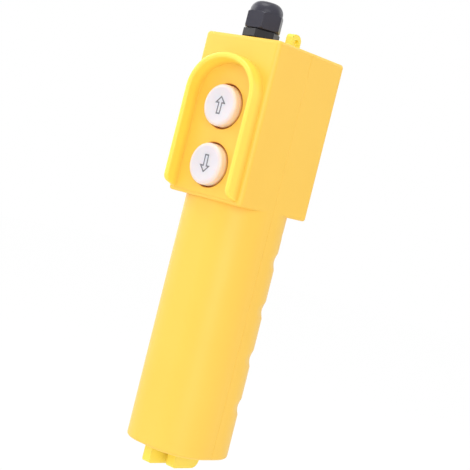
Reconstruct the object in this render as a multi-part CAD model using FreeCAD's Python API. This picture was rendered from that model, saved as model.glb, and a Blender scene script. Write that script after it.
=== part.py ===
import FreeCAD, Part
import math
import os

V = FreeCAD.Vector

# Frame while modelling: x = 0 in the middle, y = 0 on the parting plane with the buttons at -Y,
# z = 0 on the casing's top face. Every size is in millimetres.

# Casing
CASING_WIDTH = 48.0
HEAD_FRONT_DEPTH = 25.4
HEAD_BACK_DEPTH = 26.8
GRIP_LENGTH = 122.8
GRIP_FRONT_DEPTH = 22.8
GRIP_BACK_DEPTH = 23.5
GRIP_ROUND = 19.0
WALL = 3.2
GRIP_BACK_WALL = 4.6
HEAD_FRONT_ROUND = 2.2
HEAD_BACK_ROUND = 2.4
HEAD_TOP_ROUND = 1.6
HEAD_FOOT_ROUND = 1.4
GRIP_FOOT_ROUND = 1.5
PARTING_CHAMFER = 0.15

# Finger notches across the back of the grip
NOTCH_COUNT = 4
NOTCH_PITCH = 24.6
NOTCH_BELOW_HEAD = 23.9
NOTCH_DEPTH = 1.7
NOTCH_UPPER_FLANK = 10.0
NOTCH_LOWER_FLANK = 3.8
NOTCH_RUNOUT = 0.3
NOTCH_FLANK_SHARE = 0.5

# Horseshoe guard and button panel
GUARD_HEIGHT = 7.8
GUARD_LEDGE = 0.2
GUARD_TOP_DROP = 10.1
GUARD_SHOULDER_X = 3.0
GUARD_CROWN_RISE = 0.7
GUARD_BAND = 2.6
GUARD_CROWN_BAND = 2.6
GUARD_LIMB_DRAFT = 0.3
GUARD_CROWN_DRAFT = 1.6
GUARD_ROUND_SHARE = 0.43
GUARD_FOOT_SLOPE = 2.8
GUARD_FOOT_ROUND = 3.6
PANEL_RAISE = 0.2

# Push buttons
UP_BUTTON_DROP = 35.0
BUTTON_PITCH = 28.6
BUTTON_FOOT_CLEARANCE = 0.3
CAP_RADIUS = 10.4
CAP_DRAFT = 0.3
CAP_PROUD = 4.2
CAP_FACE = 2.8
CAP_EDGE_ROUND = 1.5
CAP_RIM = 0.3
CAP_DISH = 0.6
CAP_SLEEVE_CLEARANCE = 0.35
FLANGE_LIP = 1.25
FLANGE_THICKNESS = 1.8
PRESS_TRAVEL = 3.5
STOP_CLEARANCE = 0.4
BUTTON_SEAL_THICKNESS = 1.2
BUTTON_SEAL_LIP = 0.1
SEAL_SLEEVE_WALL = 0.38
SEAL_SLEEVE_DROP = 0.5
SEAL_SLEEVE_FIT = 0.02

# Arrow inlay in the face of a cap
ARROW_HEIGHT = 8.9
ARROW_HEAD_HEIGHT = 3.7
ARROW_HEAD_WIDTH = 6.8
ARROW_SHAFT_WIDTH = 2.6
ARROW_STROKE = 0.65
ARROW_DEPTH = 0.4

# Plunger, springs and contact bridge
PLUNGER_RADIUS = 3.8
PLUNGER_TIP_RADIUS = 2.4
PLUNGER_TIP_LENGTH = 6.2
PLUNGER_NECK_RADIUS = 2.0
PLUNGER_END = 0.8
BOSS_WALL = 2.2
SOCKET_FLOOR = 1.0
PUSH_CLEARANCE = 0.03
GUIDE_CLEARANCE = 0.1
RETURN_WIRE_RADIUS = 0.5
RETURN_TURNS = 5
CONTACT_WIRE_RADIUS = 0.3
CONTACT_TURNS = 4
CONTACT_SPRING_LENGTH = 5.0
SPRING_SIDE_CLEARANCE = 0.6
SPRING_END_CLEARANCE = 0.03
BRIDGE_LENGTH = 18.0
BRIDGE_WIDTH = 5.0
BRIDGE_THICKNESS = 0.8
TIP_RADIUS = 1.8
TIP_THICKNESS = 0.4
TIP_SPACING = 13.0
CONTACT_CLEARANCE = 0.1
CLIP_LIP = 1.5
CLIP_THICKNESS = 0.6
CLIP_GROOVE = 0.4

# Contact block
BASE_WEB = 7.0
BASE_WALL = 2.0
BASE_SIDE = 16.0
BASE_END_MARGIN = 12.5
SPRING_SEAT_DEPTH = 2.0
BOARD_THICKNESS = 4.0
STRIP_THICKNESS = 0.8
STRIP_WIDTH = 5.5
STRIP_INNER_X = 4.4
TERMINAL_X = 10.0
TERMINAL_RADIUS = 3.2
TERMINAL_PROUD = 1.5
TERMINAL_CLEARANCE = 0.05
CLAMP_SIDE = 7.6
CLAMP_THICKNESS = 1.2
BOARD_POST_RADIUS = 2.6
BOARD_POST_OFFSET = 8.3
BASE_BOSS_X = 10.6
BASE_BOSS_RADIUS = 3.4

# Screws: radius of shank and head, height of head, length under the head
SHELL_SCREW_RADIUS = 1.75
SHELL_SCREW_HEAD = 3.3
SHELL_SCREW_HEAD_HEIGHT = 2.4
SHELL_SCREW_LENGTH = 19.0
SHELL_SCREW_SEAT = 8.0
SMALL_SCREW_RADIUS = 1.4
SMALL_SCREW_HEAD = 2.6
SMALL_SCREW_HEAD_HEIGHT = 1.8
SWITCH_SCREW_LENGTH = 11.6
BOARD_SCREW_LENGTH = 10.0
TERMINAL_SCREW_RADIUS = 1.65
TERMINAL_SCREW_HEAD = 3.0
TERMINAL_SCREW_HEAD_HEIGHT = 2.0
TERMINAL_SCREW_LENGTH = 5.5
SCREW_CLEARANCE = 0.25
PILOT_CLEARANCE = 0.02
PILOT_SPARE = 1.0
RECESS_WIDTH = 0.9
RECESS_DEPTH_SHARE = 0.5
RECESS_REACH_SHARE = 0.6
HEAD_ROUND_SHARE = 0.33
TOWER_WALL = 1.7
TOWER_CLEARANCE = 0.4
SHELL_BOSS_RADIUS = 4.0
SCREW_BOSS_BITE = 0.6
SCREW_TOP_DROP = 9.5
SCREW_BELOW_HEAD = 9.0
SCREW_ABOVE_FOOT = 10.0

# Gasket between the shells
GASKET_WIDTH = 1.4
GASKET_DEPTH = 1.4
GASKET_CLEARANCE = 0.05
GASKET_BEND = 3.0

# Cable gland
GLAND_THREAD_RADIUS = 6.25
GLAND_HOLE_CLEARANCE = 0.2
GLAND_BELOW_LOCKNUT = 2.5
GLAND_COLLAR_WALL = 1.65
GLAND_COLLAR_HEIGHT = 3.9
GLAND_COLLAR_TURN = 52.0
GLAND_NECK_RADIUS = 5.6
GLAND_NECK_HEIGHT = 5.6
GLAND_FINGER_HEIGHT = 5.0
GLAND_FINGER_WALL = 1.0
GLAND_FINGER_COUNT = 8
GLAND_FINGER_SLOT = 1.0
GLAND_BORE_RADIUS = 3.9
WASHER_THICKNESS = 0.8
WASHER_LIP = 1.0
LOCKNUT_WALL = 1.9
LOCKNUT_HEIGHT = 4.5
LOCKNUT_WALL_GAP = 1.35
SEAL_CLEARANCE = 0.05
CABLE_RADIUS = 3.25
NUT_GAP = 0.5
NUT_WALL = 2.55
NUT_HEIGHT = 13.8
NUT_DOME_ROUND = 5.0
NUT_DOME_INSET = 0.15
NUT_HEX_HEIGHT = 8.1
NUT_CORNER_CHAMFER = 0.8
NUT_MOUTH_RADIUS = 4.2
NUT_ROOF = 2.4
NUT_TURN = 5.0
NUT_RUNNING_CLEARANCE = 0.1

# Top eye, moulded on the rear shell
EYE_FRONT = 8.4
EYE_LENGTH = 6.8
EYE_THICKNESS = 4.4
EYE_HEIGHT = 9.5
EYE_HOLE_RADIUS = 1.75
EYE_HOLE_HEIGHT = 5.2
EYE_FRONT_ROUND = 2.0
EYE_BACK_ROUND = 3.6

# Bottom ears, one on each shell, side by side
EAR_OFFSET = 4.0
EAR_THICKNESS = 5.0
EAR_HEIGHT = 9.5
EAR_FRONT_LENGTH = 15.0
EAR_BACK_LENGTH = 12.0
EAR_OVERLAP = 6.1
EAR_FRONT_ROUND = 1.3
EAR_BACK_ROUND = 4.6
EAR_GAP = 0.4

# Places worked out from the sizes above
HALF = CASING_WIDTH / 2
GUARD_HALF = HALF - HEAD_FRONT_ROUND - GUARD_LEDGE
SLEEVE_BORE_RADIUS = CAP_RADIUS + CAP_SLEEVE_CLEARANCE
SLEEVE_RADIUS = SLEEVE_BORE_RADIUS + SEAL_SLEEVE_WALL
HOLE_RADIUS = SLEEVE_RADIUS + SEAL_SLEEVE_FIT
FLANGE_RADIUS = HOLE_RADIUS + FLANGE_LIP
BUTTON_SEAL_RADIUS = FLANGE_RADIUS + BUTTON_SEAL_LIP
HEAD_HEIGHT = UP_BUTTON_DROP + BUTTON_PITCH + BUTTON_SEAL_RADIUS + BUTTON_FOOT_CLEARANCE + WALL
CASING_LENGTH = HEAD_HEIGHT + GRIP_LENGTH
FRONT_Y = -HEAD_FRONT_DEPTH
PANEL_Y = FRONT_Y - PANEL_RAISE
CREST_Y = FRONT_Y - GUARD_HEIGHT
INNER_FRONT_Y = FRONT_Y + WALL
BUTTON_Z = {"up": -UP_BUTTON_DROP, "down": -UP_BUTTON_DROP - BUTTON_PITCH}
CAP_FRONT_Y = PANEL_Y - CAP_PROUD
DISH_Y = CAP_FRONT_Y + CAP_DISH
FLANGE_FRONT_Y = INNER_FRONT_Y + BUTTON_SEAL_THICKNESS
FLANGE_BACK_Y = FLANGE_FRONT_Y + FLANGE_THICKNESS
BOSS_RADIUS = PLUNGER_TIP_RADIUS + PUSH_CLEARANCE + BOSS_WALL
SOCKET_Y = CAP_FRONT_Y + CAP_FACE + SOCKET_FLOOR
BOSS_END_Y = SOCKET_Y + PLUNGER_TIP_LENGTH
BASE_FRONT_Y = max(FLANGE_BACK_Y, BOSS_END_Y) + PRESS_TRAVEL + STOP_CLEARANCE
SPRING_SEAT_Y = BASE_FRONT_Y + SPRING_SEAT_DEPTH
WEB_BACK_Y = BASE_FRONT_Y + BASE_WEB
SHOULDER_Y = WEB_BACK_Y + STOP_CLEARANCE
BRIDGE_Y = SHOULDER_Y + CONTACT_SPRING_LENGTH
BRIDGE_BACK_Y = BRIDGE_Y + BRIDGE_THICKNESS
PLUNGER_END_Y = BRIDGE_BACK_Y + CLIP_THICKNESS + PLUNGER_END
FIXED_TIP_Y = BRIDGE_BACK_Y + TIP_THICKNESS + PRESS_TRAVEL + CONTACT_CLEARANCE
STRIP_Y = max(FIXED_TIP_Y + TIP_THICKNESS, PLUNGER_END_Y + PRESS_TRAVEL + STOP_CLEARANCE - STRIP_THICKNESS)
BOARD_Y = STRIP_Y + STRIP_THICKNESS
BOARD_BACK_Y = BOARD_Y + BOARD_THICKNESS
TERMINAL_Y = BOARD_BACK_Y + TERMINAL_PROUD
BASE_TOP_Z = BUTTON_Z["up"] + BASE_END_MARGIN
BASE_FOOT_Z = BUTTON_Z["down"] - BASE_END_MARGIN
BUTTON_MID_Z = (BUTTON_Z["up"] + BUTTON_Z["down"]) / 2
BASE_SCREWS = [(side * BASE_BOSS_X, BUTTON_MID_Z) for side in (-1, 1)]
BOARD_SCREWS = [(0, BUTTON_Z["up"] + BOARD_POST_OFFSET), (0, BUTTON_Z["down"] - BOARD_POST_OFFSET)]
TERMINALS = [(side * TERMINAL_X, z) for z in BUTTON_Z.values() for side in (-1, 1)]
RETURN_RADIUS = BOSS_RADIUS + SPRING_SIDE_CLEARANCE + RETURN_WIRE_RADIUS
CAP_CAVITY_RADIUS = RETURN_RADIUS + RETURN_WIRE_RADIUS + SPRING_SIDE_CLEARANCE
CONTACT_RADIUS = PLUNGER_NECK_RADIUS + SPRING_SIDE_CLEARANCE + CONTACT_WIRE_RADIUS
COUNTERBORE_RADIUS = SHELL_SCREW_HEAD + TOWER_CLEARANCE
SCREW_X = HALF - WALL - SHELL_BOSS_RADIUS + SCREW_BOSS_BITE
SHELL_SCREWS = [(side * SCREW_X, -SCREW_TOP_DROP) for side in (-1, 1)]
SHELL_SCREWS += [(side * SCREW_X, -HEAD_HEIGHT - SCREW_BELOW_HEAD) for side in (-1, 1)]
SHELL_SCREWS += [(0, -CASING_LENGTH + SCREW_ABOVE_FOOT)]
LOCKNUT_FLATS = 2 * (GLAND_THREAD_RADIUS + LOCKNUT_WALL)
GLAND_Y = INNER_FRONT_Y + LOCKNUT_WALL_GAP + LOCKNUT_FLATS / 2
COLLAR_TOP = WASHER_THICKNESS + GLAND_COLLAR_HEIGHT
NECK_TOP = COLLAR_TOP + GLAND_NECK_HEIGHT
FINGER_TOP = NECK_TOP + GLAND_FINGER_HEIGHT
SEAL_RADIUS = GLAND_NECK_RADIUS - GLAND_FINGER_WALL
NUT_BORE_RADIUS = GLAND_NECK_RADIUS + NUT_RUNNING_CLEARANCE
NUT_FLATS = 2 * (NUT_BORE_RADIUS + NUT_WALL)
NUT_FOOT = COLLAR_TOP + NUT_GAP
NUT_TOP = NUT_FOOT + NUT_HEIGHT
# The part's origin lies on the gland's axis, halfway up the seal that grips the cable.
ORIGIN = V(0, GLAND_Y, (COLLAR_TOP + FINGER_TOP) / 2)
# Cutting tools reach this far past the faces that they cut through.
OVERSHOOT = 5.0


def block(x, y, z):
    return Part.makeBox(x[1] - x[0], y[1] - y[0], z[1] - z[0], V(x[0], y[0], z[0]))


def rod(radius, y, x=0.0, z=0.0):
    return Part.makeCylinder(radius, y[1] - y[0], V(x, y[0], z), V(0, 1, 0))


def post(radius, z, x=0.0, y=0.0):
    return Part.makeCylinder(radius, z[1] - z[0], V(x, y, z[0]), V(0, 0, 1))


def pin(radius, x, y, z):
    return Part.makeCylinder(radius, x[1] - x[0], V(x[0], y, z), V(1, 0, 0))


def join(first, *others):
    return first.fuse(list(others)).removeSplitter()


def rounded(points, radii):
    """Closed outline through the points, with each corner rounded to its own radius."""
    corners = []
    for i, point in enumerate(points):
        before = (points[i - 1] - point).normalize()
        after = (points[(i + 1) % len(points)] - point).normalize()
        half_angle = before.getAngle(after) / 2
        setback = radii[i] / math.tan(half_angle)
        inward = (before + after).normalize()
        nearest = point + inward * (radii[i] / math.sin(half_angle) - radii[i])
        corners.append((point + before * setback, nearest, point + after * setback))
    edges = []
    for i, (start, middle, end) in enumerate(corners):
        if radii[i] > 0:
            edges.append(Part.Arc(start, middle, end).toShape())
        edges.append(Part.LineSegment(end, corners[(i + 1) % len(corners)][0]).toShape())
    return Part.Wire(edges)


def prism(outline, along):
    return Part.Face(outline).extrude(along)


def edges_at(shape, axis, value):
    """Edges that lie wholly in the plane where the axis has the value."""
    found = []
    for edge in shape.Edges:
        low = getattr(edge.BoundBox, axis + "Min")
        high = getattr(edge.BoundBox, axis + "Max")
        if abs(low - value) < 1e-4 and abs(high - value) < 1e-4:
            found.append(edge)
    return found


def turned(profile, x=0.0, z=0.0):
    """Solid turned about an axis along Y, from points of (radius, y)."""
    points = [V(x + radius, y, z) for radius, y in profile]
    face = Part.Face(Part.makePolygon(points + points[:1]))
    return face.revolve(V(x, 0, z), V(0, 1, 0), 360)


def hexagon(flats, z, turn):
    """Hexagonal bar about the gland's axis; turn is the angle of one corner from +X."""
    reach = flats / math.sqrt(3)
    points = []
    for i in range(7):
        angle = math.radians(turn + 60 * i)
        points.append(V(reach * math.cos(angle), GLAND_Y + reach * math.sin(angle), z[0]))
    return prism(Part.makePolygon(points), V(0, 0, z[1] - z[0]))


def coil(radius, wire, y, turns, x, z):
    """Compression spring along Y, as tilted half circles that meet end to end."""
    first = y[0] + wire + SPRING_END_CLEARANCE
    rise = (y[1] - wire - SPRING_END_CLEARANCE - first) / (2 * turns)
    halves = []
    for i in range(2 * turns):
        side = 1 - 2 * (i % 2)
        start = V(x + side * radius, first + i * rise, z)
        end = V(x - side * radius, first + (i + 1) * rise, z)
        bulge = V(0, 0, side)
        section = Part.Face(Part.Wire(Part.Circle(start, bulge, wire).toShape()))
        halves.append(section.revolve((start + end) / 2, bulge.cross(end - start), 180))
    return halves[0].fuse(halves[1:])


def screw(radius, head, head_height, length, seat, x, z):
    """Pan-head screw driven towards -Y, its head on the plane y = seat, with a cross recess."""
    top = seat + head_height
    body = join(rod(radius, (seat - length, seat), x, z), rod(head, (seat, top), x, z))
    rim = max(edges_at(body, "Y", top), key=lambda edge: edge.Length)
    body = body.makeFillet(head_height * HEAD_ROUND_SHARE, [rim])
    deep = (top - head_height * RECESS_DEPTH_SHARE, top + OVERSHOOT)
    arm = head * RECESS_REACH_SHARE
    half = RECESS_WIDTH / 2
    recess = join(
        block((x - arm, x + arm), deep, (z - half, z + half)),
        block((x - half, x + half), deep, (z - arm, z + arm)),
    )
    return body.cut(recess)


def head_solid():
    points = [
        V(-HALF, FRONT_Y, -HEAD_HEIGHT),
        V(HALF, FRONT_Y, -HEAD_HEIGHT),
        V(HALF, HEAD_BACK_DEPTH, -HEAD_HEIGHT),
        V(-HALF, HEAD_BACK_DEPTH, -HEAD_HEIGHT),
    ]
    radii = [HEAD_FRONT_ROUND, HEAD_FRONT_ROUND, HEAD_BACK_ROUND, HEAD_BACK_ROUND]
    head = prism(rounded(points, radii), V(0, 0, HEAD_HEIGHT))
    head = head.makeFillet(HEAD_TOP_ROUND, edges_at(head, "Z", 0))
    return head.makeFillet(HEAD_FOOT_ROUND, edges_at(head, "Z", -HEAD_HEIGHT))


def grip_outline(half, front, back, radius, z):
    """Rounded section of the grip or of its hollow, at one height."""
    points = [V(-half, front, z), V(half, front, z), V(half, back, z), V(-half, back, z)]
    return rounded(points, [radius] * len(points))


def notch_tool(top):
    """Everything outside the narrowed section that one finger notch leaves."""
    valley = top - NOTCH_UPPER_FLANK
    foot = valley - NOTCH_LOWER_FLANK
    halfway = NOTCH_DEPTH * NOTCH_FLANK_SHARE
    profile = [
        (top, -NOTCH_RUNOUT),
        ((top + valley) / 2, halfway),
        (valley, NOTCH_DEPTH),
        ((valley + foot) / 2, halfway),
        (foot, -NOTCH_RUNOUT),
    ]
    outlines = []
    for z, depth in profile:
        back = GRIP_BACK_DEPTH - depth
        outlines.append(grip_outline(HALF + NOTCH_RUNOUT, -2 * GRIP_ROUND, back, GRIP_ROUND, z))
    core = Part.makeLoft(outlines, True, False)
    reach = HALF + GRIP_BACK_DEPTH
    return block((-reach, reach), (0, reach), (foot, top)).cut(core)


def grip_solid():
    foot = -CASING_LENGTH
    outline = grip_outline(HALF, -GRIP_FRONT_DEPTH, GRIP_BACK_DEPTH, GRIP_ROUND, foot)
    grip = prism(outline, V(0, 0, GRIP_LENGTH + WALL))
    grip = grip.makeFillet(GRIP_FOOT_ROUND, edges_at(grip, "Z", foot))
    first = -HEAD_HEIGHT - NOTCH_BELOW_HEAD + NOTCH_UPPER_FLANK
    return grip.cut([notch_tool(first - i * NOTCH_PITCH) for i in range(NOTCH_COUNT)])


def arch(half, top, foot, y):
    """Horseshoe outline: two limbs, two shoulder arcs and a crown arc that meets them smoothly."""
    shoulder = half - GUARD_SHOULDER_X
    rise = shoulder + GUARD_CROWN_RISE
    spring = top - rise
    crown = (GUARD_SHOULDER_X**2 + rise**2 - shoulder**2) / (2 * GUARD_CROWN_RISE)
    lean = math.atan2(GUARD_SHOULDER_X, crown - rise)
    meet = V(crown * math.sin(lean), 0, top - crown + crown * math.cos(lean))
    bend = (math.pi / 2 + lean) / 2
    knee = V(GUARD_SHOULDER_X + shoulder * math.sin(bend), 0, spring + shoulder * math.cos(bend))
    at = V(0, y, 0)
    right = [V(half, 0, foot) + at, V(half, 0, spring) + at, knee + at, meet + at]
    left = [V(-point.x, point.y, point.z) for point in right]
    return Part.Wire([
        Part.LineSegment(left[0], right[0]).toShape(),
        Part.LineSegment(right[0], right[1]).toShape(),
        Part.Arc(right[1], right[2], right[3]).toShape(),
        Part.Arc(right[3], V(0, y, top), left[3]).toShape(),
        Part.Arc(left[3], left[2], left[1]).toShape(),
        Part.LineSegment(left[1], left[0]).toShape(),
    ])


def guard_side():
    """Side view of the guard, with rounded toes at the foot, as a bar across the casing."""
    foot = -HEAD_HEIGHT + HEAD_FOOT_ROUND + GUARD_LEDGE
    root_y = FRONT_Y + HEAD_FRONT_ROUND
    points = [
        V(-HALF, root_y, foot),
        V(-HALF, FRONT_Y, foot),
        V(-HALF, CREST_Y, foot + GUARD_FOOT_SLOPE),
        V(-HALF, CREST_Y, 0),
        V(-HALF, root_y, 0),
    ]
    return prism(rounded(points, [0, 0, GUARD_FOOT_ROUND, 0, 0]), V(CASING_WIDTH, 0, 0))


def guard_solid():
    """Horseshoe wall around the raised button panel, open towards the grip."""
    root_y = FRONT_Y + HEAD_FRONT_ROUND
    outline = arch(GUARD_HALF, -GUARD_TOP_DROP, -HEAD_HEIGHT, root_y)
    guard = prism(outline, V(0, CREST_Y - root_y, 0)).common(guard_side())
    crest_half = GUARD_HALF - GUARD_BAND
    crest_top = -GUARD_TOP_DROP - GUARD_CROWN_BAND
    outlines = []
    for y in (PANEL_Y, CREST_Y - OVERSHOOT):
        share = (CREST_Y - y) / (PANEL_Y - CREST_Y)
        half = crest_half + share * GUARD_LIMB_DRAFT
        outlines.append(arch(half, crest_top + share * GUARD_CROWN_DRAFT, -CASING_LENGTH, y))
    guard = guard.cut(Part.makeLoft(outlines, True, True))
    crest = []
    for edge in edges_at(guard, "Y", CREST_Y):
        if edge.BoundBox.ZMax > -HEAD_HEIGHT / 2:
            crest.append(edge)
    return guard.makeFillet(GUARD_ROUND_SHARE * min(GUARD_BAND, GUARD_CROWN_BAND), crest)


def hollow():
    """Space inside the casing: a box in the head that opens into the rounded hollow of the grip."""
    inner = HALF - WALL
    floor = -HEAD_HEIGHT + WALL
    head = block((-inner, inner), (INNER_FRONT_Y, HEAD_BACK_DEPTH - WALL), (floor, -WALL))
    foot = -CASING_LENGTH + WALL
    front = -GRIP_FRONT_DEPTH + WALL
    back = GRIP_BACK_DEPTH - GRIP_BACK_WALL
    outline = grip_outline(inner, front, back, GRIP_ROUND - WALL, foot)
    return join(head, prism(outline, V(0, 0, floor + WALL - foot)))


def half_casing(outer, side):
    """One half of the outer solid, its outer edge chamfered along the parting plane."""
    reach = 2 * (HALF + HEAD_FRONT_DEPTH + HEAD_BACK_DEPTH)
    y = sorted((0, side * reach))
    half = outer.common(block((-reach, reach), y, (-CASING_LENGTH - reach, reach)))
    return half.makeChamfer(PARTING_CHAMFER, edges_at(half, "Y", 0))


def ear(side):
    """Lug under the grip, rooted in one shell and reaching under the other with a small gap."""
    top = -CASING_LENGTH + WALL / 2
    foot = -CASING_LENGTH - EAR_HEIGHT
    x = (side * EAR_OFFSET - EAR_THICKNESS / 2, side * EAR_OFFSET + EAR_THICKNESS / 2)
    root = EAR_BACK_LENGTH if side > 0 else -EAR_FRONT_LENGTH
    tip = -side * EAR_OVERLAP
    front, back = sorted((root, tip))
    points = [V(x[0], front, top), V(x[0], back, top), V(x[0], back, foot), V(x[0], front, foot)]
    lug = prism(rounded(points, [0, 0, EAR_BACK_ROUND, EAR_FRONT_ROUND]), V(EAR_THICKNESS, 0, 0))
    under = sorted((0, -side * (EAR_OVERLAP + OVERSHOOT)))
    return lug.cut(block((x[0], x[1]), under, (-CASING_LENGTH - EAR_GAP, top + OVERSHOOT)))


def eye():
    """Small upright lug behind the gland, drilled along X."""
    x = (-EYE_THICKNESS / 2, EYE_THICKNESS / 2)
    back = EYE_FRONT + EYE_LENGTH
    low = -WALL / 2
    points = [
        V(x[0], EYE_FRONT, low),
        V(x[0], back, low),
        V(x[0], back, EYE_HEIGHT),
        V(x[0], EYE_FRONT, EYE_HEIGHT),
    ]
    lug = prism(rounded(points, [0, 0, EYE_BACK_ROUND, EYE_FRONT_ROUND]), V(EYE_THICKNESS, 0, 0))
    return lug.cut(pin(EYE_HOLE_RADIUS, x, EYE_FRONT + EYE_LENGTH / 2, EYE_HOLE_HEIGHT))


def rim_ring(inset, width):
    """Ring in the casing's rim, just in front of the parting plane."""
    outlines = []
    for away, bend in ((inset, GASKET_BEND), (inset + width, GASKET_BEND - width)):
        half = HALF - away
        low = -CASING_LENGTH + away
        points = [V(-half, 0, low), V(half, 0, low), V(half, 0, -away), V(-half, 0, -away)]
        outlines.append(prism(rounded(points, [bend] * len(points)), V(0, -GASKET_DEPTH, 0)))
    return outlines[0].cut(outlines[1])


def shell_gasket():
    return rim_ring((WALL - GASKET_WIDTH) / 2, GASKET_WIDTH)


def front_shell(outer):
    body = join(half_casing(outer, -1), guard_solid()).cut(hollow())
    bosses = [rod(SHELL_BOSS_RADIUS, (FRONT_Y, 0), x, z).common(outer) for x, z in SHELL_SCREWS]
    bosses += [rod(BASE_BOSS_RADIUS, (INNER_FRONT_Y, BASE_FRONT_Y), x, z) for x, z in BASE_SCREWS]
    body = join(body, ear(-1), *bosses)
    groove = GASKET_WIDTH + 2 * GASKET_CLEARANCE
    tools = [rim_ring((WALL - groove) / 2, groove)]
    tools += [rod(HOLE_RADIUS, (CREST_Y, INNER_FRONT_Y + OVERSHOOT), 0, z) for z in BUTTON_Z.values()]
    tools.append(post(GLAND_THREAD_RADIUS + GLAND_HOLE_CLEARANCE, (-WALL - OVERSHOOT, OVERSHOOT), 0, GLAND_Y))
    for x, z in SHELL_SCREWS:
        end = SHELL_SCREW_SEAT - SHELL_SCREW_LENGTH - PILOT_SPARE
        tools.append(rod(SHELL_SCREW_RADIUS + PILOT_CLEARANCE, (end, OVERSHOOT), x, z))
    for x, z in BASE_SCREWS:
        end = WEB_BACK_Y - SWITCH_SCREW_LENGTH - PILOT_SPARE
        tools.append(rod(SMALL_SCREW_RADIUS + PILOT_CLEARANCE, (end, BASE_FRONT_Y + OVERSHOOT), x, z))
    return body.cut(tools)


def rear_shell(outer):
    body = half_casing(outer, 1).cut(hollow())
    tower = COUNTERBORE_RADIUS + TOWER_WALL
    towers = [rod(tower, (0, HEAD_BACK_DEPTH), x, z).common(outer) for x, z in SHELL_SCREWS]
    body = join(body, eye(), ear(1), *towers)
    tools = []
    for x, z in SHELL_SCREWS:
        tools.append(rod(COUNTERBORE_RADIUS, (SHELL_SCREW_SEAT, HEAD_BACK_DEPTH + OVERSHOOT), x, z))
        tools.append(rod(SHELL_SCREW_RADIUS + SCREW_CLEARANCE, (-OVERSHOOT, SHELL_SCREW_SEAT), x, z))
    return body.cut(tools)


def shell_screws():
    shank = (SHELL_SCREW_RADIUS, SHELL_SCREW_HEAD, SHELL_SCREW_HEAD_HEIGHT, SHELL_SCREW_LENGTH)
    return Part.Compound([screw(*shank, SHELL_SCREW_SEAT, x, z) for x, z in SHELL_SCREWS])


def gland_body():
    stem = post(GLAND_THREAD_RADIUS, (-WALL - LOCKNUT_HEIGHT - GLAND_BELOW_LOCKNUT, COLLAR_TOP), 0, GLAND_Y)
    collar_flats = 2 * (GLAND_THREAD_RADIUS + GLAND_COLLAR_WALL)
    collar = hexagon(collar_flats, (WASHER_THICKNESS, COLLAR_TOP), GLAND_COLLAR_TURN)
    neck = post(GLAND_NECK_RADIUS, (WASHER_THICKNESS, FINGER_TOP), 0, GLAND_Y)
    body = join(stem, collar, neck)
    deep = stem.BoundBox.ZMin - OVERSHOOT
    body = body.cut(post(GLAND_BORE_RADIUS, (deep, FINGER_TOP), 0, GLAND_Y))
    body = body.cut(post(SEAL_RADIUS, (COLLAR_TOP, FINGER_TOP + OVERSHOOT), 0, GLAND_Y))
    half = GLAND_FINGER_SLOT / 2
    reach = GLAND_NECK_RADIUS + OVERSHOOT
    slot = block((-reach, reach), (GLAND_Y - half, GLAND_Y + half), (NECK_TOP, FINGER_TOP + OVERSHOOT))
    slots = []
    for i in range(GLAND_FINGER_COUNT // 2):
        slots.append(slot.rotated(V(0, GLAND_Y, 0), V(0, 0, 1), 360 / GLAND_FINGER_COUNT * i))
    return body.cut(slots)


def gland_washer():
    span = (0, WASHER_THICKNESS)
    disc = post(GLAND_THREAD_RADIUS + WASHER_LIP, span, 0, GLAND_Y)
    return disc.cut(post(GLAND_THREAD_RADIUS + GLAND_HOLE_CLEARANCE, span, 0, GLAND_Y))


def gland_locknut():
    span = (-WALL - LOCKNUT_HEIGHT, -WALL)
    return hexagon(LOCKNUT_FLATS, span, 0).cut(post(GLAND_THREAD_RADIUS + PILOT_CLEARANCE, span, 0, GLAND_Y))


def gland_seal():
    span = (COLLAR_TOP, FINGER_TOP)
    sleeve = post(SEAL_RADIUS - SEAL_CLEARANCE, span, 0, GLAND_Y)
    return sleeve.cut(post(CABLE_RADIUS, span, 0, GLAND_Y))


def gland_nut():
    """Dome nut: a hexagon with its corners turned off at both ends, under a turned dome."""
    span = (NUT_FOOT, NUT_FOOT + NUT_HEX_HEIGHT)
    bar = post(NUT_FLATS / math.sqrt(3), span, 0, GLAND_Y)
    bar = bar.makeChamfer(NUT_CORNER_CHAMFER, edges_at(bar, "Z", span[0]) + edges_at(bar, "Z", span[1]))
    dome = post(NUT_FLATS / 2 - NUT_DOME_INSET, (NUT_FOOT, NUT_TOP), 0, GLAND_Y)
    dome = dome.makeFillet(NUT_DOME_ROUND, edges_at(dome, "Z", NUT_TOP))
    nut = join(hexagon(NUT_FLATS, span, NUT_TURN).common(bar), dome)
    nut = nut.cut(post(NUT_BORE_RADIUS, (NUT_FOOT, NUT_TOP - NUT_ROOF), 0, GLAND_Y))
    return nut.cut(post(NUT_MOUTH_RADIUS, (NUT_FOOT, NUT_TOP + OVERSHOOT), 0, GLAND_Y))


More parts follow.
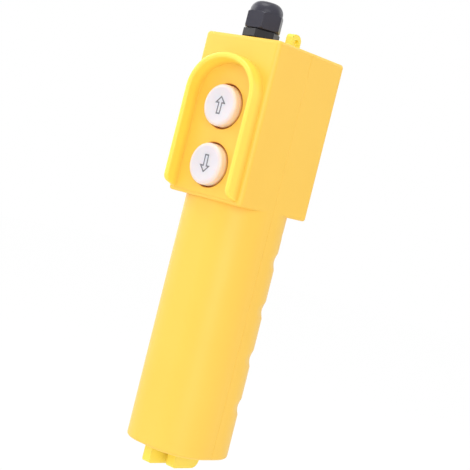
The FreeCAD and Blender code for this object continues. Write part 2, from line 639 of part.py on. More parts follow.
def switch_base():
    """Tray that guides both plungers, seats their return springs and is closed by the board."""
    span_z = (BASE_FOOT_Z, BASE_TOP_Z)
    body = block((-BASE_SIDE, BASE_SIDE), (BASE_FRONT_Y, BOARD_Y), span_z)
    inner = BASE_SIDE - BASE_WALL
    tray_z = (BASE_FOOT_Z + BASE_WALL, BASE_TOP_Z - BASE_WALL)
    body = body.cut(block((-inner, inner), (WEB_BACK_Y, BOARD_Y + OVERSHOOT), tray_z))
    posts = [rod(BOARD_POST_RADIUS, (WEB_BACK_Y, BOARD_Y), x, z) for x, z in BOARD_SCREWS]
    body = join(body, *posts)
    tools = []
    for z in BUTTON_Z.values():
        tools.append(rod(CAP_CAVITY_RADIUS, (BASE_FRONT_Y - OVERSHOOT, SPRING_SEAT_Y), 0, z))
        tools.append(rod(PLUNGER_RADIUS + GUIDE_CLEARANCE, (BASE_FRONT_Y, WEB_BACK_Y), 0, z))
    for x, z in BASE_SCREWS:
        tools.append(rod(SMALL_SCREW_RADIUS + SCREW_CLEARANCE, (BASE_FRONT_Y, WEB_BACK_Y), x, z))
    for x, z in BOARD_SCREWS:
        end = BOARD_BACK_Y - BOARD_SCREW_LENGTH - PILOT_SPARE
        tools.append(rod(SMALL_SCREW_RADIUS + PILOT_CLEARANCE, (end, BOARD_Y), x, z))
    return body.cut(tools)


def terminal_board():
    span_y = (BOARD_Y, BOARD_BACK_Y)
    body = block((-BASE_SIDE, BASE_SIDE), span_y, (BASE_FOOT_Z, BASE_TOP_Z))
    tools = [rod(TERMINAL_RADIUS + TERMINAL_CLEARANCE, span_y, x, z) for x, z in TERMINALS]
    tools += [rod(SMALL_SCREW_RADIUS + SCREW_CLEARANCE, span_y, x, z) for x, z in BOARD_SCREWS]
    return body.cut(tools)


def small_screws(places, seat, length):
    shank = (SMALL_SCREW_RADIUS, SMALL_SCREW_HEAD, SMALL_SCREW_HEAD_HEIGHT, length)
    return Part.Compound([screw(*shank, seat, x, z) for x, z in places])


def terminal_screws():
    seat = TERMINAL_Y + CLAMP_THICKNESS
    shank = (TERMINAL_SCREW_RADIUS, TERMINAL_SCREW_HEAD, TERMINAL_SCREW_HEAD_HEIGHT, TERMINAL_SCREW_LENGTH)
    return Part.Compound([screw(*shank, seat, x, z) for x, z in TERMINALS])


def terminal_clamps():
    span_y = (TERMINAL_Y, TERMINAL_Y + CLAMP_THICKNESS)
    half = CLAMP_SIDE / 2
    clamps = []
    for x, z in TERMINALS:
        plate = block((x - half, x + half), span_y, (z - half, z + half))
        clamps.append(plate.cut(rod(TERMINAL_SCREW_RADIUS + SCREW_CLEARANCE, span_y, x, z)))
    return Part.Compound(clamps)


def fixed_contacts(z):
    """Two brass strips with a contact tip at one end and a drilled terminal at the other."""
    contacts = []
    for side in (-1, 1):
        x = sorted((side * STRIP_INNER_X, side * TERMINAL_X))
        strip = block(x, (STRIP_Y, BOARD_Y), (z - STRIP_WIDTH / 2, z + STRIP_WIDTH / 2))
        tip = rod(TIP_RADIUS, (FIXED_TIP_Y, STRIP_Y), side * TIP_SPACING / 2, z)
        terminal = rod(TERMINAL_RADIUS, (STRIP_Y, TERMINAL_Y), side * TERMINAL_X, z)
        end = TERMINAL_Y + CLAMP_THICKNESS - TERMINAL_SCREW_LENGTH - TERMINAL_CLEARANCE
        pilot = rod(TERMINAL_SCREW_RADIUS + PILOT_CLEARANCE, (end, TERMINAL_Y), side * TERMINAL_X, z)
        contacts.append(join(strip, tip, terminal).cut(pilot))
    return Part.Compound(contacts)


def dish(z):
    """Ball that leaves the shallow hollow in the face of a cap."""
    reach = CAP_RADIUS - CAP_DRAFT - CAP_EDGE_ROUND - CAP_RIM
    radius = (reach**2 + CAP_DISH**2) / (2 * CAP_DISH)
    return Part.makeSphere(radius, V(0, DISH_Y - radius, z))


def arrow(z, point):
    """Outline arrow let into the face of a cap; point is 1 for up and -1 for down."""
    tip = point * ARROW_HEIGHT / 2
    barb = tip - point * ARROW_HEAD_HEIGHT
    head = ARROW_HEAD_WIDTH / 2
    shaft = ARROW_SHAFT_WIDTH / 2
    right = [(head, barb), (shaft, barb), (shaft, -tip)]
    left = [(-x, height) for x, height in reversed(right)]
    places = [(0, tip)] + right + left + [(0, tip)]
    outline = Part.makePolygon([V(x, CAP_FRONT_Y, z + height) for x, height in places])
    inside = outline.makeOffset2D(-ARROW_STROKE, 2)
    along = V(0, CAP_DISH + ARROW_DEPTH, 0)
    return prism(outline, along).cut([prism(inside, along), dish(z)])


def cap(z, inlay):
    """Hollow cap with a flange behind the panel and a socket for the plunger."""
    socket = PLUNGER_TIP_RADIUS + PUSH_CLEARANCE
    inside_y = CAP_FRONT_Y + CAP_FACE
    body = turned([
        (0, CAP_FRONT_Y),
        (CAP_RADIUS - CAP_DRAFT, CAP_FRONT_Y),
        (CAP_RADIUS, FLANGE_FRONT_Y),
        (FLANGE_RADIUS, FLANGE_FRONT_Y),
        (FLANGE_RADIUS, FLANGE_BACK_Y),
        (CAP_CAVITY_RADIUS, FLANGE_BACK_Y),
        (CAP_CAVITY_RADIUS, inside_y),
        (BOSS_RADIUS, inside_y),
        (BOSS_RADIUS, BOSS_END_Y),
        (socket, BOSS_END_Y),
        (socket, SOCKET_Y),
        (0, SOCKET_Y),
    ], 0, z)
    body = body.makeFillet(CAP_EDGE_ROUND, edges_at(body, "Y", CAP_FRONT_Y))
    return body.cut([dish(z), inlay])


def button_seal(z):
    """Flat ring behind the panel with a thin sleeve that lines the hole in it."""
    sleeve_y = (PANEL_Y + SEAL_SLEEVE_DROP, FLANGE_FRONT_Y)
    ring = rod(BUTTON_SEAL_RADIUS, (INNER_FRONT_Y, FLANGE_FRONT_Y), 0, z)
    return ring.fuse(rod(SLEEVE_RADIUS, sleeve_y, 0, z)).cut(rod(SLEEVE_BORE_RADIUS, sleeve_y, 0, z))


def plunger(z):
    groove = PLUNGER_NECK_RADIUS - CLIP_GROOVE
    return turned([
        (0, SOCKET_Y),
        (PLUNGER_TIP_RADIUS, SOCKET_Y),
        (PLUNGER_TIP_RADIUS, BOSS_END_Y),
        (PLUNGER_RADIUS, BOSS_END_Y),
        (PLUNGER_RADIUS, SHOULDER_Y),
        (PLUNGER_NECK_RADIUS, SHOULDER_Y),
        (PLUNGER_NECK_RADIUS, BRIDGE_BACK_Y),
        (groove, BRIDGE_BACK_Y),
        (groove, BRIDGE_BACK_Y + CLIP_THICKNESS),
        (PLUNGER_NECK_RADIUS, BRIDGE_BACK_Y + CLIP_THICKNESS),
        (PLUNGER_NECK_RADIUS, PLUNGER_END_Y),
        (0, PLUNGER_END_Y),
    ], 0, z)


def contact_bridge(z):
    half = BRIDGE_LENGTH / 2
    span_z = (z - BRIDGE_WIDTH / 2, z + BRIDGE_WIDTH / 2)
    bar = block((-half, half), (BRIDGE_Y, BRIDGE_BACK_Y), span_z)
    tip_y = (BRIDGE_BACK_Y, BRIDGE_BACK_Y + TIP_THICKNESS)
    tips = [rod(TIP_RADIUS, tip_y, side * TIP_SPACING / 2, z) for side in (-1, 1)]
    return join(bar, *tips).cut(rod(PLUNGER_NECK_RADIUS + GUIDE_CLEARANCE, (BRIDGE_Y, BRIDGE_BACK_Y), 0, z))


def clip(z):
    """Open ring sprung into the plunger's groove behind the bridge."""
    span_y = (BRIDGE_BACK_Y, BRIDGE_BACK_Y + CLIP_THICKNESS)
    inner = PLUNGER_NECK_RADIUS - CLIP_GROOVE + PUSH_CLEARANCE
    outer = PLUNGER_NECK_RADIUS + CLIP_LIP
    ring = rod(outer, span_y, 0, z).cut(rod(inner, span_y, 0, z))
    return ring.cut(block((-inner, inner), span_y, (z, z + outer)))


def button_pieces(name, z, point):
    inlay = arrow(z, point)
    spring_y = (CAP_FRONT_Y + CAP_FACE, SPRING_SEAT_Y)
    return {
        name + "_cap": cap(z, inlay),
        name + "_arrow": inlay,
        name + "_seal": button_seal(z),
        name + "_return_spring": coil(RETURN_RADIUS, RETURN_WIRE_RADIUS, spring_y, RETURN_TURNS, 0, z),
        name + "_plunger": plunger(z),
        name + "_contact_bridge": contact_bridge(z),
        name + "_contact_spring": coil(
            CONTACT_RADIUS, CONTACT_WIRE_RADIUS, (SHOULDER_Y, BRIDGE_Y), CONTACT_TURNS, 0, z
        ),
        name + "_clip": clip(z),
        name + "_fixed_contacts": fixed_contacts(z),
    }


outer = join(head_solid(), grip_solid())
nodes = {
    "front_shell": front_shell(outer),
    "rear_shell": rear_shell(outer),
    "shell_gasket": shell_gasket(),
    "shell_screws": shell_screws(),
    "gland_body": gland_body(),
    "gland_washer": gland_washer(),
    "gland_locknut": gland_locknut(),
    "gland_seal": gland_seal(),
    "gland_nut": gland_nut(),
    "switch_base": switch_base(),
    "terminal_board": terminal_board(),
    "switch_screws": small_screws(BASE_SCREWS, WEB_BACK_Y, SWITCH_SCREW_LENGTH),
    "board_screws": small_screws(BOARD_SCREWS, BOARD_BACK_Y, BOARD_SCREW_LENGTH),
    "terminal_screws": terminal_screws(),
    "terminal_clamps": terminal_clamps(),
}
nodes.update(button_pieces("up", BUTTON_Z["up"], 1))
nodes.update(button_pieces("down", BUTTON_Z["down"], -1))

os.makedirs("parts", exist_ok=True)
for name, shape in nodes.items():
    shape.translate(-ORIGIN)
    shape.exportStep("parts/" + name + ".step")
    valid = shape.isValid() and all(solid.isClosed() for solid in shape.Solids)
    print(name, len(shape.Solids), "solids", round(shape.Volume, 2), "mm3", "valid" if valid else "BROKEN")
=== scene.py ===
import math
import bpy
from mathutils import Matrix, Vector


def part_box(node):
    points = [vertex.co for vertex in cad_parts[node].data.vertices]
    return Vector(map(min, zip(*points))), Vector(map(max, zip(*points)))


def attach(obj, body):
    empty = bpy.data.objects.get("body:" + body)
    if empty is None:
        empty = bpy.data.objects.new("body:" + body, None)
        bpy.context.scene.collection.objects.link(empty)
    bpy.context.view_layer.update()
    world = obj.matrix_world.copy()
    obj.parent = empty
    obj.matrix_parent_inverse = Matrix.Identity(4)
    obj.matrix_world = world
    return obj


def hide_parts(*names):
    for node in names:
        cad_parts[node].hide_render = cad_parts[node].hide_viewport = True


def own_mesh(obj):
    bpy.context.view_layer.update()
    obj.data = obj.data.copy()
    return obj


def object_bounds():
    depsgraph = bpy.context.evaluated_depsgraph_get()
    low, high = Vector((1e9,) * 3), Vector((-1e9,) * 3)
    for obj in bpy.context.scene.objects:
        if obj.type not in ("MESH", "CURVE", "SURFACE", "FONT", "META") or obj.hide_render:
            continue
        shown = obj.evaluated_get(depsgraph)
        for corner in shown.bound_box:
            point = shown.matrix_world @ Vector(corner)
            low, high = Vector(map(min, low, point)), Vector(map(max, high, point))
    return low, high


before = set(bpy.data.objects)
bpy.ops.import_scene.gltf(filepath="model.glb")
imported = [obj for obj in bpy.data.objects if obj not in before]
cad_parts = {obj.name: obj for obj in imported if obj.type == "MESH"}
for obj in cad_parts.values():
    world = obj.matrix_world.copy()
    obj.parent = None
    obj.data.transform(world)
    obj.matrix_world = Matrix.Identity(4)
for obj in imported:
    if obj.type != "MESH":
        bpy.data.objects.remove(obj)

cad_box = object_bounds()


# Front shell: the half of the casing with the button panel and its horseshoe guard.
# Injection moulded in yellow plastic with a fine spark-eroded grain, which hands have rubbed
# smoother on the grip. The thin guard, eye and ears are painted paler: painted light for the light
# through their thin walls.
class Strand:
    """A socket of a node tree, so that sums on sockets read as plain sums."""

    def __init__(self, tree, socket=None):
        self.tree = tree
        self.socket = socket

    def node(self, kind, settings, sockets, out=0):
        made = self.tree.nodes.new(kind)
        for key, value in settings.items():
            setattr(made, key, value)
        for key, value in sockets.items():
            if isinstance(value, (Strand, list)):
                for strand in value if isinstance(value, list) else [value]:
                    self.tree.links.new(strand.socket, made.inputs[key])
            else:
                made.inputs[key].default_value = value
        return Strand(self.tree, made.outputs[out] if made.outputs else None)

    def sum(self, operation, first, second):
        return self.node("ShaderNodeMath", {"operation": operation}, {0: first, 1: second})

    def __add__(self, other):
        return self.sum("ADD", self, other)

    __radd__ = __add__

    def __mul__(self, other):
        return self.sum("MULTIPLY", self, other)

    __rmul__ = __mul__

    def __sub__(self, other):
        return self.sum("SUBTRACT", self, other)

    def __rsub__(self, other):
        return self.sum("SUBTRACT", other, self)

    def __truediv__(self, other):
        return self.sum("DIVIDE", self, other)

    def __rtruediv__(self, other):
        return self.sum("DIVIDE", other, self)

    def __pow__(self, other):
        return self.sum("POWER", self, other)

    def __gt__(self, other):
        return self.sum("GREATER_THAN", self, other)

    def __abs__(self):
        return self.node("ShaderNodeMath", {"operation": "ABSOLUTE"}, {0: self})


def new_finish(name):
    """A new material and the place of a point on the piece that wears it."""
    material = bpy.data.materials.new(name)
    material.use_nodes = True
    material.node_tree.nodes.clear()
    return material, Strand(material.node_tree).node("ShaderNodeTexCoord", {}, {}, "Object")


def along(place, axis):
    return place.node("ShaderNodeSeparateXYZ", {}, {0: place}, axis)


def speckle(place, speck, detail=3.0):
    """Soft noise from none to full, with specks of about that size."""
    return place.node("ShaderNodeTexNoise", {}, {"Vector": place, "Scale": 1 / speck, "Detail": detail})


def ramp(value, low, high):
    """None at the low value, full at the high one."""
    return value.node("ShaderNodeMapRange", {}, {0: value, 1: low, 2: high, 3: 0.0, 4: 1.0})


def tint(share, first, second):
    """The first colour where the share is none, the second where it is full."""
    sockets = {0: share, 6: (*first, 1), 7: (*second, 1)}
    return share.node("ShaderNodeMix", {"data_type": "RGBA"}, sockets, 2)


def overlay(share, colour, second):
    """A colour that varies already, with the second one over it where the share is full."""
    return share.node("ShaderNodeMix", {"data_type": "RGBA"}, {0: share, 6: colour, 7: (*second, 1)}, 2)


def soft_edge(place, radius, bumps, strength):
    """Normal of a grained surface whose sharp edges look rounded to the radius."""
    edge = place.node("ShaderNodeBevel", {"samples": 6}, {"Radius": radius})
    sockets = {"Strength": strength, "Distance": grain_depth, "Height": bumps, "Normal": edge}
    return place.node("ShaderNodeBump", {}, sockets)


def coat_with(place, **sockets):
    """Ends a material in one shader with these inputs."""
    named = {key.replace("_", " "): value for key, value in sockets.items()}
    shader = place.node("ShaderNodeBsdfPrincipled", {}, named)
    place.node("ShaderNodeOutputMaterial", {}, {"Surface": shader})


def dress(material, *names):
    for name in names:
        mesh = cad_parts[name].data
        mesh.materials.clear()
        mesh.materials.append(material)


mm = 0.001
grain_depth = 0.05 * mm
panel_front = -13.2 * mm
crest_foot = -16.5 * mm
casing_top = -10.0 * mm
casing_foot = -212.9 * mm
grip_top = -85.0 * mm
palm_top = -130.0 * mm
glow_fade_run = 1.0 * mm
ear_glow_share = 0.75
casing_yellow, place = new_finish("casing_yellow")
flow = speckle(place, 38 * mm, 2.0)
grain = speckle(place, 0.2 * mm, 2.0)
rub = speckle(place, 3 * mm, 5.0)
height = along(place, "Z")
# Painted light: the guard, the eye and the ears get a paler yellow, standing in for light through their
# thin walls.
painted_guard_glow = ramp(along(place, "Y"), panel_front, crest_foot)
painted_eye_glow = ramp(height, casing_top, casing_top + glow_fade_run)
painted_ear_glow = ear_glow_share * ramp(height, casing_foot, casing_foot - glow_fade_run)
wall_yellow = tint(flow, (0.925, 0.555, 0.066), (0.945, 0.59, 0.082))
yellow_with_painted_guard_glow = overlay(painted_guard_glow, wall_yellow, (0.95, 0.72, 0.085))
coat_with(
    place,
    Base_Color=overlay(painted_eye_glow + painted_ear_glow, yellow_with_painted_guard_glow, (0.95, 0.81, 0.095)),
    Roughness=0.38 + 0.12 * rub - 0.05 * ramp(height, grip_top, palm_top),
    Normal=soft_edge(place, 0.3 * mm, grain, 0.12),
)
dress(casing_yellow, "front_shell")

# Button seals: a flat ring behind each cap with a thin sleeve that lines its hole in the panel.
# Moulded in red-brown silicone rubber and squeezed between the shell and the cap's flange.
seal_silicone, place = new_finish("seal_silicone")
bloom = speckle(place, 1 * mm)
coat_with(
    place,
    # Partly painted shade: the sleeve's red-brown in the gap round each cap also stands in for the
    # amber shade there.
    Base_Color=tint(bloom, (0.60, 0.19, 0.03), (0.66, 0.22, 0.04)),
    Roughness=0.55 + 0.2 * bloom,
    Normal=soft_edge(place, 0.1 * mm, bloom, 0.15),
)
dress(seal_silicone, "up_seal", "down_seal")

# Push buttons: two white caps with a shallow hollow for the thumb and a flange behind.
# Moulded in white plastic, a little clouded and translucent. The rim is painted peach, as painted light
# from the yellow casing round it, and the foot of the skirt inside the hole is painted amber, as
# painted shade in the gap.
up_height = -45.0 * mm
down_height = -73.6 * mm
between = (up_height + down_height) / 2
hollow_radius = 7.8 * mm
rim_radius = 10.2 * mm
amber_paint_start = -13.6 * mm
amber_paint_full = -12.9 * mm
cap_white, place = new_finish("cap_white")
cloud = speckle(place, 5.5 * mm)
grain = speckle(place, 0.17 * mm, 2.0)
above_middle = abs(along(place, "Z") - between) - (up_height - between)
from_axis = (along(place, "X") ** 2.0 + above_middle ** 2.0) ** 0.5
face = tint(cloud, (0.69, 0.645, 0.68), (0.73, 0.685, 0.715))
# Painted light: the rim round the hollow is painted peach for the yellow casing's light on it.
edge = overlay(ramp(from_axis, hollow_radius, rim_radius), face, (0.82, 0.70, 0.63))
coat_with(
    place,
    # Painted shade: the foot of the skirt, inside the hole, is painted amber for the shade in the gap.
    Base_Color=overlay(ramp(along(place, "Y"), amber_paint_start, amber_paint_full), edge, (0.90, 0.55, 0.20)),
    Roughness=0.3 + 0.1 * cloud,
    Subsurface_Weight=0.4,
    Subsurface_Radius=(1.0, 0.5, 0.3),
    Subsurface_Scale=4 * mm,
    Normal=soft_edge(place, 0.2 * mm, grain, 0.08),
)
dress(cap_white, "up_cap", "down_cap")

# Arrows: a grey outline arrow let into the face of each cap, up and down.
# Moulded first as a thin grey piece, so that it can't wear off under a thumb.
arrow_grey, place = new_finish("arrow_grey")
worn = speckle(place, 0.7 * mm, 4.0)
coat_with(
    place,
    Base_Color=tint(worn, (0.14, 0.13, 0.15), (0.2, 0.19, 0.21)),
    Roughness=0.45 + 0.1 * worn,
    Normal=soft_edge(place, 0.05 * mm, worn, 0.05),
)
dress(arrow_grey, "up_arrow", "down_arrow")

# Return springs: one under each cap, between its face and the switch base.
# Wound from hard-drawn steel wire with a closed turn at each end, and held by the cap's skirt.
spring_steel, place = new_finish("spring_steel")
drawn = speckle(place, 0.4 * mm)
coat_with(
    place,
    Base_Color=tint(drawn, (0.36, 0.36, 0.37), (0.48, 0.48, 0.49)),
    Metallic=1.0,
    Roughness=0.25 + 0.15 * drawn,
)


def new_tree(name, *sizes):
    """A geometry tree with named sizes, a strand to start from and a way to each size."""
    tree = bpy.data.node_groups.new(name, "GeometryNodeTree")
    tree.interface.new_socket("Geometry", in_out="INPUT", socket_type="NodeSocketGeometry")
    tree.interface.new_socket("Geometry", in_out="OUTPUT", socket_type="NodeSocketGeometry")
    for size in sizes:
        tree.interface.new_socket(size, in_out="INPUT", socket_type="NodeSocketFloat")
    start = Strand(tree)
    return tree, start, lambda size: start.node("NodeGroupInput", {}, {}, size)


def end_tree(shape, material):
    solid = shape.node("GeometryNodeRealizeInstances", {}, {"Geometry": shape})
    clad = shape.node("GeometryNodeSetMaterial", {}, {"Geometry": solid, "Material": material})
    shape.node("NodeGroupOutput", {}, {"Geometry": clad})


def at_height(start, value):
    return start.node("ShaderNodeCombineXYZ", {}, {"Z": value})


def grow(name, points, tree, sizes, sharp_degrees):
    """A piece that the tree makes at the points, turned into a plain mesh."""
    mesh = bpy.data.meshes.new(name)
    mesh.from_pydata(points, [], [])
    piece = bpy.data.objects.new(name, mesh)
    bpy.context.scene.collection.objects.link(piece)
    grown = piece.modifiers.new("grown", "NODES")
    grown.node_group = tree
    for item in tree.interface.items_tree:
        if item.in_out == "INPUT" and item.name in sizes:
            grown[item.identifier] = sizes[item.name]
    bpy.context.view_layer.update()
    seen = piece.evaluated_get(bpy.context.evaluated_depsgraph_get())
    made = bpy.data.meshes.new_from_object(seen)
    piece.modifiers.clear()
    piece.data = made
    made.shade_smooth()
    made.set_sharp_from_angle(angle=math.radians(sharp_degrees))
    return piece


wound_wire, start, size = new_tree("wound_wire", "Coil Radius", "Wire Radius", "Length", "Turns")
wire_width = 2.0 * size("Wire Radius")
turn = 1.0 / size("Turns")
share = start.node("GeometryNodeSplineParameter", {}, {}, "Factor")
closed_turns = ramp(share, 0.0, turn) + ramp(share, 1.0 - turn, 1.0)
open_turns = ramp(share, turn, 1.0 - turn)
open_length = size("Length") - 3.0 * wire_width
ring = start.node("GeometryNodeCurveSpiral", {}, {
    "Resolution": 40,
    "Rotations": size("Turns"),
    "Start Radius": size("Coil Radius"),
    "End Radius": size("Coil Radius"),
    "Height": 0.0,
})
helix = start.node("GeometryNodeSetPosition", {}, {
    "Geometry": ring,
    "Offset": at_height(start, (0.5 + closed_turns) * wire_width + open_turns * open_length),
})
end_tree(start.node("GeometryNodeCurveToMesh", {}, {
    "Curve": helix,
    "Profile Curve": start.node("GeometryNodeCurvePrimitiveCircle", {}, {
        "Resolution": 12,
        "Radius": size("Wire Radius"),
    }),
    "Fill Caps": True,
}), spring_steel)


def spring(name, node, wire, turns, body):
    """A spring as long and wide as the node, wound along +Y, and the middle of its back end."""
    low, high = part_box(node)
    sizes = {
        "Coil Radius": (high.x - low.x) / 2 - wire,
        "Wire Radius": wire,
        "Length": high.y - low.y,
        "Turns": turns,
    }
    piece = grow(name, [(0, 0, 0)], wound_wire, sizes, 60)
    height = (low.z + high.z) / 2
    piece.data.transform(Matrix.Translation((0, low.y, height)) @ Matrix.Rotation(-math.pi / 2, 4, "X"))
    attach(piece, body)
    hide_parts(node)
    return piece, sizes["Length"], (0, high.y, height)


press_travel = 3.5 * mm
return_wire = 0.5 * mm
return_turns = 6.0
for side in ("up", "down"):
    name = side + "_return_coil"
    coil, length, seat = spring(name, side + "_return_spring", return_wire, return_turns, "casing")
    1 - press_travel / length
    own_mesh(coil)

# Plungers: a white rod under each cap that carries the moving contact.
# Turned from slippery white acetal, which slides dry in the base.
plunger_white, place = new_finish("plunger_white")
turning = speckle(place, 0.8 * mm, 2.0)
coat_with(
    place,
    Base_Color=tint(turning, (0.74, 0.73, 0.70), (0.80, 0.79, 0.76)),
    Roughness=0.3 + 0.12 * turning,
    Normal=soft_edge(place, 0.2 * mm, turning, 0.1),
)
dress(plunger_white, "up_plunger", "down_plunger")

# Contact block: the base that guides both plungers and the board that carries the contacts.
# Pressed from black phenolic resin, with a faint fleck of its filler, and screwed together.
phenolic_black, place = new_finish("phenolic_black")
fleck = speckle(place, 0.4 * mm)
coat_with(
    place,
    Base_Color=tint(fleck, (0.010, 0.009, 0.009), (0.034, 0.029, 0.026)),
    Roughness=0.3 + 0.2 * fleck,
    Normal=soft_edge(place, 0.3 * mm, fleck, 0.1),
)
dress(phenolic_black, "switch_base", "terminal_board")

# Contacts: a moving bridge on each plunger and the pair of fixed strips that it closes.
# Stamped from brass sheet, bright where it was cut and a little dull elsewhere.
contact_brass, place = new_finish("contact_brass")
dull = speckle(place, 1.4 * mm, 5.0)
coat_with(
    place,
    Base_Color=tint(dull, (0.70, 0.47, 0.17), (0.80, 0.60, 0.27)),
    Metallic=1.0,
    Roughness=0.2 + 0.25 * dull,
    Normal=soft_edge(place, 0.1 * mm, dull, 0.05),
)
for side in ("up", "down"):
    dress(contact_brass, side + "_fixed_contacts", side + "_contact_bridge")

# Contact springs and clips: a small spring presses each bridge back against its clip.
# The springs are wound from thin wire; the clips are open rings stamped from spring steel.
contact_wire = 0.3 * mm
contact_turns = 5.0
for side in ("up", "down"):
    name = side + "_contact_coil"
    spring(name, side + "_contact_spring", contact_wire, contact_turns, side + "_button")
    dress(spring_steel, side + "_clip")

# Small screws: two hold the base to the front shell and two hold the board to the base.
# Pan-head screws with a cross recess and a rolled thread, in steel with bright zinc plating.
zinc_steel, place = new_finish("zinc_steel")
plating = speckle(place, 0.7 * mm, 4.0)
coat_with(
    place,
    Base_Color=tint(plating, (0.50, 0.51, 0.53), (0.66, 0.67, 0.68)),
    Metallic=1.0,
    Roughness=0.22 + 0.2 * plating,
    Normal=soft_edge(place, 0.1 * mm, plating, 0.03),
)


def raised(shape, height):
    return shape.node("GeometryNodeTransform", {}, {
        "Geometry": shape,
        "Translation": at_height(shape, height),
    })


screw_sizes = ("Shank Radius", "Head Radius", "Head Height", "Length", "Pitch")
pan_screw, start, size = new_tree("pan_screw", *screw_sizes)
thread_depth = 0.3 * size("Pitch")
core = size("Shank Radius") - thread_depth
point = 2.0 * size("Pitch")
shank_length = size("Length") - point
shank = raised(start.node("GeometryNodeMeshCylinder", {}, {
    "Vertices": 24,
    "Radius": core,
    "Depth": shank_length,
}), -0.5 * shank_length)
tip = raised(start.node("GeometryNodeMeshCone", {}, {
    "Vertices": 24,
    "Radius Top": core,
    "Radius Bottom": 0.4 * core,
    "Depth": point,
}), -1.0 * size("Length"))
helix = raised(start.node("GeometryNodeCurveSpiral", {}, {
    "Resolution": 24,
    "Rotations": shank_length / size("Pitch"),
    "Start Radius": core,
    "End Radius": core,
    "Height": shank_length - size("Pitch"),
}), -1.0 * shank_length)
thread = start.node("GeometryNodeCurveToMesh", {}, {
    "Curve": helix,
    "Profile Curve": start.node("GeometryNodeCurvePrimitiveCircle", {}, {
        "Resolution": 4,
        "Radius": thread_depth,
    }),
    "Fill Caps": True,
})
blank = start.node("GeometryNodeMeshCylinder", {"fill_type": "TRIANGLE_FAN"}, {
    "Vertices": 32,
    "Fill Segments": 8,
    "Radius": size("Head Radius"),
    "Depth": size("Head Height"),
})
spot = start.node("GeometryNodeInputPosition", {}, {})
outward = (along(spot, "X") ** 2.0 + along(spot, "Y") ** 2.0) ** 0.5 / size("Head Radius")
fall = 0.35 * size("Head Height") * (along(spot, "Z") > 0.0) * outward ** 5.0
domed = start.node("GeometryNodeSetPosition", {}, {
    "Geometry": blank,
    "Offset": at_height(start, -1.0 * fall),
})
recess_length = 1.2 * size("Head Radius")
recess_width = 0.27 * size("Head Radius")
bars = []
for width, depth in ((recess_length, recess_width), (recess_width, recess_length)):
    bar = start.node("ShaderNodeCombineXYZ", {}, {"X": width, "Y": depth, "Z": size("Head Height")})
    bars.append(raised(start.node("GeometryNodeMeshCube", {}, {"Size": bar}), size("Head Height")))
head = start.node("GeometryNodeMeshBoolean", {"operation": "DIFFERENCE"}, {
    "Mesh 1": raised(domed, 0.5 * size("Head Height")),
    "Mesh 2": bars,
})
upright = start.node("GeometryNodeJoinGeometry", {}, {0: [shank, tip, thread, head]})
lying = start.node("GeometryNodeTransform", {}, {"Geometry": upright, "Rotation": (-math.pi / 2, 0, 0)})
last_angle = start.node("FunctionNodeRandomValue", {}, {2: 0.0, 3: math.pi / 2, "Seed": 4}, 1)
end_tree(start.node("GeometryNodeInstanceOnPoints", {}, {
    "Points": size("Geometry"),
    "Instance": lying,
    "Rotation": start.node("ShaderNodeCombineXYZ", {}, {"Y": last_angle}),
}), zinc_steel)


def screws(name, node, places, shank_radius, head_radius, head_height, length, pitch):
    """Screws driven towards -Y, with their heads where those of the node are."""
    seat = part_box(node)[1].y - head_height
    sizes = dict(zip(screw_sizes, (shank_radius, head_radius, head_height, length, pitch)))
    piece = grow(name, [(x, seat, z) for x, z in places], pan_screw, sizes, 40)
    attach(piece, "casing")
    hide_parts(node)


web_x = 10.6 * mm
post_offset = 8.3 * mm
small = {"shank_radius": 1.4 * mm, "head_radius": 2.6 * mm, "head_height": 1.8 * mm, "pitch": 0.9 * mm}
web_places = [(-web_x, between), (web_x, between)]
post_places = [(0, up_height + post_offset), (0, down_height - post_offset)]
screws("switch_screw_pair", "switch_screws", web_places, **small, length=11.6 * mm)
screws("board_screw_pair", "board_screws", post_places, **small, length=10.0 * mm)

# Wire terminals: four square clamps, each pulled down on a wire by its own screw.
# The clamps are bent from plated steel strip, and the screws have a fine machine thread.
terminal_x = 10.0 * mm
terminal_places = [(x, z) for z in (up_height, down_height) for x in (-terminal_x, terminal_x)]
dress(zinc_steel, "terminal_clamps")
screws(
    "terminal_screw_set", "terminal_screws", terminal_places,
    shank_radius=1.65 * mm,
    head_radius=3.0 * mm,
    head_height=2.0 * mm,
    length=5.5 * mm,
    pitch=0.7 * mm,
)

# Cable gland: collar with its fingers, lock nut inside the wall, and the dome nut over them.
# Moulded in black nylon; the nut's six sides take a spanner and its dome closes the fingers.
# The collar below the nut is painted darker: painted shade under the nut.
nut_foot = -4.8 * mm
collar_top = -5.3 * mm
gland_black, place = new_finish("gland_black")
grain = speckle(place, 0.24 * mm)
haze = speckle(place, 4 * mm, 4.0)
nylon_tone = tint(haze, (0.032, 0.031, 0.045), (0.042, 0.041, 0.058))
coat_with(
    place,
    # Painted shade: below the nut's foot the collar is painted near-black.
    Base_Color=overlay(ramp(along(place, "Z"), nut_foot, collar_top), nylon_tone, (0.008, 0.007, 0.010)),
    Roughness=0.27 + 0.14 * haze,
    IOR=1.36,
    Normal=soft_edge(place, 0.6 * mm, grain, 0.15),
)
dress(gland_black, "gland_body", "gland_nut", "gland_locknut")

# Gland sleeve, washer and rim cord: the sleeve grips the cable, the washer seals the collar
# and the cord lies in a groove round the casing's rim. All are black rubber, held by being squeezed.
black_rubber, place = new_finish("black_rubber")
bloom = speckle(place, 1 * mm, 4.0)
coat_with(
    place,
    Base_Color=tint(bloom, (0.012, 0.012, 0.012), (0.024, 0.023, 0.022)),
    Roughness=0.7 + 0.2 * bloom,
    Normal=soft_edge(place, 0.2 * mm, bloom, 0.2),
)
dress(black_rubber, "gland_seal", "gland_washer", "shell_gasket")

# Rear shell: the other half of the casing, with finger notches, the top eye and screw towers.
# Moulded in the same yellow plastic as the front shell, which it closes.
dress(casing_yellow, "rear_shell")

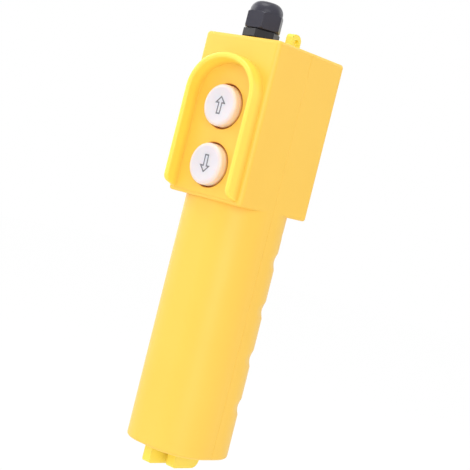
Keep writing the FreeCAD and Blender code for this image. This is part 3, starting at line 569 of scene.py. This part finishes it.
# Casing screws: five long screws sunk in the towers, from the back into the front shell.
# The same plated pan-head screws as inside, only larger and with a coarser thread for plastic.
tower_x = 17.4 * mm
head_tower = -19.5 * mm
grip_tower = -98.6 * mm
foot_tower = -202.4 * mm
tower_places = [(x, z) for z in (head_tower, grip_tower) for x in (-tower_x, tower_x)]
tower_places.append((0, foot_tower))
screws(
    "casing_screw_set", "shell_screws", tower_places,
    shank_radius=1.75 * mm,
    head_radius=3.3 * mm,
    head_height=2.4 * mm,
    length=19.0 * mm,
    pitch=1.2 * mm,
)

# Floor: a pale sheet under the hanging switch.
# It looks white from the camera and in reflections, and still holds the switch's shadow.
floor_reach = 3.0
floor_drop = 0.15
floor_height = cad_box[0].z - floor_drop
floor_glow = 1.02
glow_share = 0.94
paper_white = (0.9, 0.9, 0.9, 1)
corner_signs = [(-1, -1), (1, -1), (1, 1), (-1, 1)]
corners = [(x * floor_reach, y * floor_reach, floor_height) for x, y in corner_signs]
floor_mesh = bpy.data.meshes.new("floor")
floor_mesh.from_pydata(corners, [], [(0, 1, 2, 3)])
floor = bpy.data.objects.new("floor", floor_mesh)
bpy.context.scene.collection.objects.link(floor)


def looked_at(start):
    """One on rays from the camera, straight or by way of a gloss or clear surface."""
    kinds = ("Is Camera Ray", "Is Glossy Ray", "Is Transmission Ray")
    camera, gloss, clear = [start.node("ShaderNodeLightPath", {}, {}, kind) for kind in kinds]
    return camera + gloss + clear


floor_white, place = new_finish("floor_white")
paper = place.node("ShaderNodeBsdfDiffuse", {}, {"Color": paper_white})
glow = place.node("ShaderNodeEmission", {}, {"Color": (1, 1, 1, 1), "Strength": floor_glow})
sheet = place.node("ShaderNodeMixShader", {}, {0: glow_share * looked_at(place), 1: paper, 2: glow})
place.node("ShaderNodeOutputMaterial", {}, {"Surface": sheet})
floor_mesh.materials.append(floor_white)

# Light: a white room all round, with broad lamps at both sides, above and behind.
# Soft enough that the casing has hardly any shade, as in a photographer's tent.
room_level = 0.70
lamp_width = 0.7
middle = Vector((0.0, 0.0127, -0.1))
lamps = {
    "left_lamp": (3.0, (-0.85, -0.4, 0.3)),
    "left_back_lamp": (2.0, (-0.9, 0.35, 0.2)),
    "right_lamp": (3.0, (0.6, -0.7, 0.1)),
    "top_lamp": (5.1, (-0.1, -0.3, 1.0)),
    "back_lamp": (1.5, (0.3, 0.95, 0.4)),
}
world = bpy.data.worlds.new("white_room")
world.use_nodes = True
world.node_tree.nodes.clear()
start = Strand(world.node_tree)
room = start.node("ShaderNodeBackground", {}, {
    "Color": (1, 1, 1, 1),
    "Strength": room_level + (1 - room_level) * looked_at(start),
})
start.node("ShaderNodeOutputWorld", {}, {"Surface": room})
bpy.context.scene.world = world
for name, (power, spot) in lamps.items():
    light = bpy.data.lights.new(name, "AREA")
    light.shape = "DISK"
    light.size = lamp_width
    light.energy = power
    lamp = bpy.data.objects.new(name, light)
    bpy.context.scene.collection.objects.link(lamp)
    lamp.location = spot
    lamp.rotation_euler = (middle - Vector(spot)).to_track_quat("-Z", "Y").to_euler()

# Camera: a little from the right of the buttons and level with them, with the switch leaning over.
# Its shift is only what the picture's framing needs.
azimuth = math.radians(40.959)
elevation = math.radians(1.799)
roll = math.radians(14.039)
distance = 0.628734
picture_side = 470.0
focal_pixels = 1275.689
centre_pixels = (231.243, 225.591)
sensor = 36.0
level_out = Vector((math.sin(azimuth), -math.cos(azimuth), 0.0))
back = level_out * math.cos(elevation) + Vector((0, 0, math.sin(elevation)))
level_right = Vector((math.cos(azimuth), math.sin(azimuth), 0.0))
level_up = back.cross(level_right)
right = level_right * math.cos(roll) + level_up * math.sin(roll)
up = level_up * math.cos(roll) - level_right * math.sin(roll)
lens = bpy.data.cameras.new("camera")
camera = bpy.data.objects.new("camera", lens)
bpy.context.scene.collection.objects.link(camera)
turned = Matrix((right, up, back)).transposed().to_4x4()
camera.matrix_world = Matrix.Translation(middle + back * distance) @ turned
lens.sensor_width = sensor
lens.lens = focal_pixels / picture_side * sensor
lens.shift_x = 0.5 - centre_pixels[0] / picture_side
lens.shift_y = centre_pixels[1] / picture_side - 0.5
lens.clip_start = 0.01
lens.clip_end = 20.0
bpy.context.scene.camera = camera
bpy.context.scene.view_settings.view_transform = "Standard"
